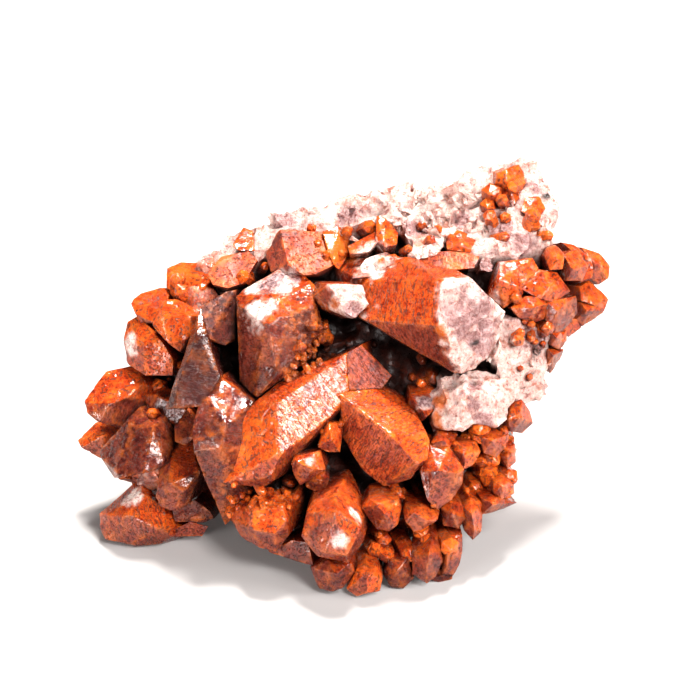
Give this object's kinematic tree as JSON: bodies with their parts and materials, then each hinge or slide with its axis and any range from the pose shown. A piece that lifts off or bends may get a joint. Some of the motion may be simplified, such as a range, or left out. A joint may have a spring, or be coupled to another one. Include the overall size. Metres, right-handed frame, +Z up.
{
  "type": "red quartz crystal cluster",
  "caption": "Cluster of red iron-stained quartz crystals grown together on broken white quartz, resting on its uneven underside.",
  "frame": {"origin": "bottom centre of the cluster's bounding box, on the surface that it rests on", "axes": "+Z up as it rests, +X to the right along its length as seen from its display side, which faces -Y"},
  "size_m": [0.122, 0.0812, 0.0731],
  "materials": {
    "quartz": "glossy, finely striated and pitted crystal faces with duller broken white patches"
  },
  "bodies": {
    "root": {"quartz_cluster": "quartz"}
  },
  "joints": []
}
